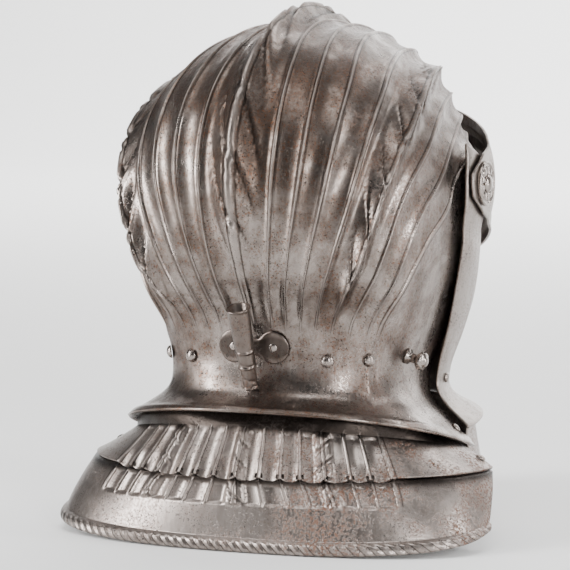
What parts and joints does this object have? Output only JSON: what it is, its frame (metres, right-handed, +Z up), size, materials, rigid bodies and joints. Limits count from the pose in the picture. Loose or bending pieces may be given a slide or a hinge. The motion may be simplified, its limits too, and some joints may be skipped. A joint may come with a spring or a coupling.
{
  "type": "armour close helmet",
  "caption": "Fluted steel close helmet with a combed skull, hinged bevor and visor, laminated neck plates and a plume pipe at the nape.",
  "frame": {"origin": "centre of the bounding box on the surface that the neck plates' rims stand on", "axes": "+Z up, the helmet faces -Y, the wearer's right is -X"},
  "size_m": [0.271, 0.2888, 0.3156],
  "materials": {
    "skull": "worn polished steel",
    "rear_gorget_upper": "worn polished steel",
    "rear_gorget_lower": "worn polished steel",
    "rosette_right": "worn polished steel",
    "rosette_left": "worn polished steel",
    "hinge_pin_right": "worn polished steel",
    "hinge_pin_left": "worn polished steel",
    "nape_rivet_1": "worn polished steel",
    "nape_rivet_2": "worn polished steel",
    "nape_rivet_3": "worn polished steel",
    "nape_rivet_4": "worn polished steel",
    "flange_rivet_1": "worn polished steel",
    "flange_rivet_2": "worn polished steel",
    "plate_rivet_1": "worn polished steel",
    "plate_rivet_2": "worn polished steel",
    "stud": "worn polished steel",
    "ear_plate": "worn polished steel",
    "plume_pipe": "worn polished steel",
    "bevor": "worn polished steel",
    "front_gorget_upper": "worn polished steel",
    "front_gorget_lower": "worn polished steel",
    "bevor_rivet_1": "worn polished steel",
    "bevor_rivet_2": "worn polished steel",
    "visor": "worn polished steel"
  },
  "bodies": {
    "skull": {"skull": "skull", "rear_gorget_upper": "rear_gorget_upper", "rear_gorget_lower": "rear_gorget_lower", "rosette_right": "rosette_right", "rosette_left": "rosette_left", "hinge_pin_right": "hinge_pin_right", "hinge_pin_left": "hinge_pin_left", "nape_rivet_1": "nape_rivet_1", "nape_rivet_2": "nape_rivet_2", "nape_rivet_3": "nape_rivet_3", "nape_rivet_4": "nape_rivet_4", "flange_rivet_1": "flange_rivet_1", "flange_rivet_2": "flange_rivet_2", "plate_rivet_1": "plate_rivet_1", "plate_rivet_2": "plate_rivet_2", "stud": "stud", "ear_plate": "ear_plate", "plume_pipe": "plume_pipe"},
    "bevor": {"bevor": "bevor", "front_gorget_upper": "front_gorget_upper", "front_gorget_lower": "front_gorget_lower", "bevor_rivet_1": "bevor_rivet_1", "bevor_rivet_2": "bevor_rivet_2"},
    "visor": {"visor": "visor"}
  },
  "joints": [
    {"name": "bevor_hinge", "type": "hinge", "parent": "skull", "child": "bevor", "pos_m": [0, 0, 0.20733], "axis": [-1, 0, 0], "range_deg": [0, 25]},
    {"name": "visor_hinge", "type": "hinge", "parent": "bevor", "child": "visor", "pos_m": [0, 0, 0.20733], "axis": [-1, 0, 0], "range_deg": [0, 30]}
  ]
}
